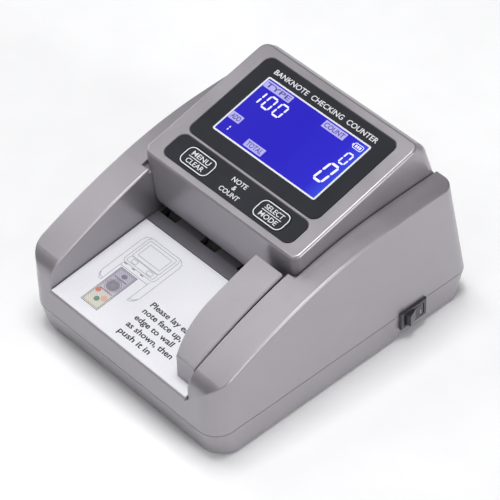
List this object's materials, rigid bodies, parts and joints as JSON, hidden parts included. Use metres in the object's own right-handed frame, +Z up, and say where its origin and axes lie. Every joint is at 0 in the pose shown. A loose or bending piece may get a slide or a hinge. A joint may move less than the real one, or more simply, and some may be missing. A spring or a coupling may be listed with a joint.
{
  "type": "counterfeit bill detector",
  "caption": "Counter-top banknote checker with sloped display head between two arms, note tray, sliding note guide, feed rollers, keys and a power rocker.",
  "frame": {"origin": "centre of the overall box, on the ground under the feet", "axes": "+Z up, +Y from the note tray at the front to the back, +X to the right of a user at the front"},
  "size_m": [0.134, 0.1644, 0.0978],
  "materials": {
    "housing_grey": "satin sprayed plastic, silver grey",
    "tray_grey": "satin",
    "label_print": "smooth printed film",
    "feed_grey": "matte",
    "foot_rubber": "matte",
    "screw_steel": "zinc plated",
    "battery_wrap": "shrink film",
    "board_green": "solder mask",
    "chip_black": "matte",
    "black_plastic": "matte",
    "frame_steel": "brushed",
    "brass_bush": "turned",
    "motor_steel": "plated can",
    "belt_rubber": "matte",
    "window_glass": "clear",
    "switch_black": "semi gloss",
    "shaft_steel": "ground",
    "roller_rubber": "ground rubber",
    "pulley_white": "moulded",
    "panel_black": "printed panel",
    "lcd_blue": "backlit blue display"
  },
  "bodies": {
    "base": {"upper_housing": "housing_grey", "lower_base": "housing_grey", "tray_plate": "tray_grey", "tray_label": "label_print", "feed_plate": "feed_grey", "rubber_feet": "foot_rubber", "base_screws": "screw_steel", "battery_door": "housing_grey", "battery_pack": "battery_wrap", "main_board": "board_green", "board_parts": "chip_black", "dc_inlet": "black_plastic", "transport_frame": "frame_steel", "shaft_bushings": "brass_bush", "motor_body": "motor_steel", "feed_belt": "belt_rubber", "exit_belt": "belt_rubber", "lower_sensor_bar": "black_plastic", "lower_sensor_glass": "window_glass", "switch_bezel": "switch_black", "guide_bushes": "brass_bush", "encoder_sensor": "black_plastic"},
    "head": {"head_shell": "housing_grey", "head_underside": "feed_grey", "display_overlay": "panel_black", "lcd_module": "lcd_blue", "display_board": "board_green", "keypad_overlay": "panel_black", "key_switches": "chip_black", "buzzer": "chip_black", "upper_sensor_bar": "black_plastic", "upper_sensor_glass": "window_glass", "pinch_hangers": "frame_steel", "head_screws": "screw_steel", "hinge_pins": "shaft_steel"},
    "feed_drive": {"feed_shaft": "shaft_steel", "feed_rollers": "roller_rubber", "feed_pulley": "pulley_white", "encoder_disc": "black_plastic"},
    "exit_drive": {"exit_shaft": "shaft_steel", "exit_rollers": "roller_rubber", "exit_pulley": "pulley_white"},
    "motor_rotor": {"motor_shaft": "shaft_steel", "motor_pulley": "pulley_white"},
    "front_pinch": {"front_pinch_axle": "shaft_steel", "front_pinch_rollers": "pulley_white"},
    "rear_pinch": {"rear_pinch_axle": "shaft_steel", "rear_pinch_rollers": "pulley_white"},
    "left_key": {"key_left": "panel_black"},
    "right_key": {"key_right": "panel_black"},
    "power_rocker": {"switch_rocker": "switch_black"},
    "note_guide": {"guide_block": "housing_grey", "guide_pins": "shaft_steel"}
  },
  "joints": [
    {"name": "head_hinge", "type": "hinge", "parent": "base", "child": "head", "pos_m": [-0.002, 0.0615, 0.0725], "axis": [-1, 0, 0], "range_deg": [0, 50]},
    {"name": "feed_spin", "type": "hinge", "parent": "base", "child": "feed_drive", "pos_m": [-0.002, -0.004, 0.0321], "axis": [-1, 0, 0], "continuous": true},
    {"name": "exit_spin", "type": "hinge", "parent": "base", "child": "exit_drive", "pos_m": [-0.002, 0.046, 0.0321], "axis": [-1, 0, 0], "continuous": true},
    {"name": "motor_spin", "type": "hinge", "parent": "base", "child": "motor_rotor", "pos_m": [-0.042, 0.033, 0.0124], "axis": [-1, 0, 0], "continuous": true},
    {"name": "front_pinch_spin", "type": "hinge", "parent": "head", "child": "front_pinch", "pos_m": [-0.002, -0.004, 0.0476], "axis": [-1, 0, 0], "continuous": true},
    {"name": "rear_pinch_spin", "type": "hinge", "parent": "head", "child": "rear_pinch", "pos_m": [-0.002, 0.046, 0.0476], "axis": [-1, 0, 0], "continuous": true},
    {"name": "left_key_press", "type": "slide", "parent": "head", "child": "left_key", "axis": [0, 0.2385, -0.9711], "range_m": [0, 0.0005], "stiffness_N_per_m": 1200, "springref_m": -0.0003},
    {"name": "right_key_press", "type": "slide", "parent": "head", "child": "right_key", "axis": [0, 0.2385, -0.9711], "range_m": [0, 0.0005], "stiffness_N_per_m": 1200, "springref_m": -0.0003},
    {"name": "power_rocker_tilt", "type": "hinge", "parent": "base", "child": "power_rocker", "pos_m": [0.0629, 0.0431, 0.0124], "axis": [0, 0, -1], "range_deg": [0, 16]},
    {"name": "note_guide_slide", "type": "slide", "parent": "base", "child": "note_guide", "axis": [-1, 0, 0], "range_m": [0, 0.009]}
  ],
  "couplings": [
    {"joint": "exit_spin", "follows": "feed_spin", "ratio": 1},
    {"joint": "motor_spin", "follows": "feed_spin", "ratio": 1.6},
    {"joint": "front_pinch_spin", "follows": "feed_spin", "ratio": -1.4516},
    {"joint": "rear_pinch_spin", "follows": "feed_spin", "ratio": -1.4516}
  ]
}
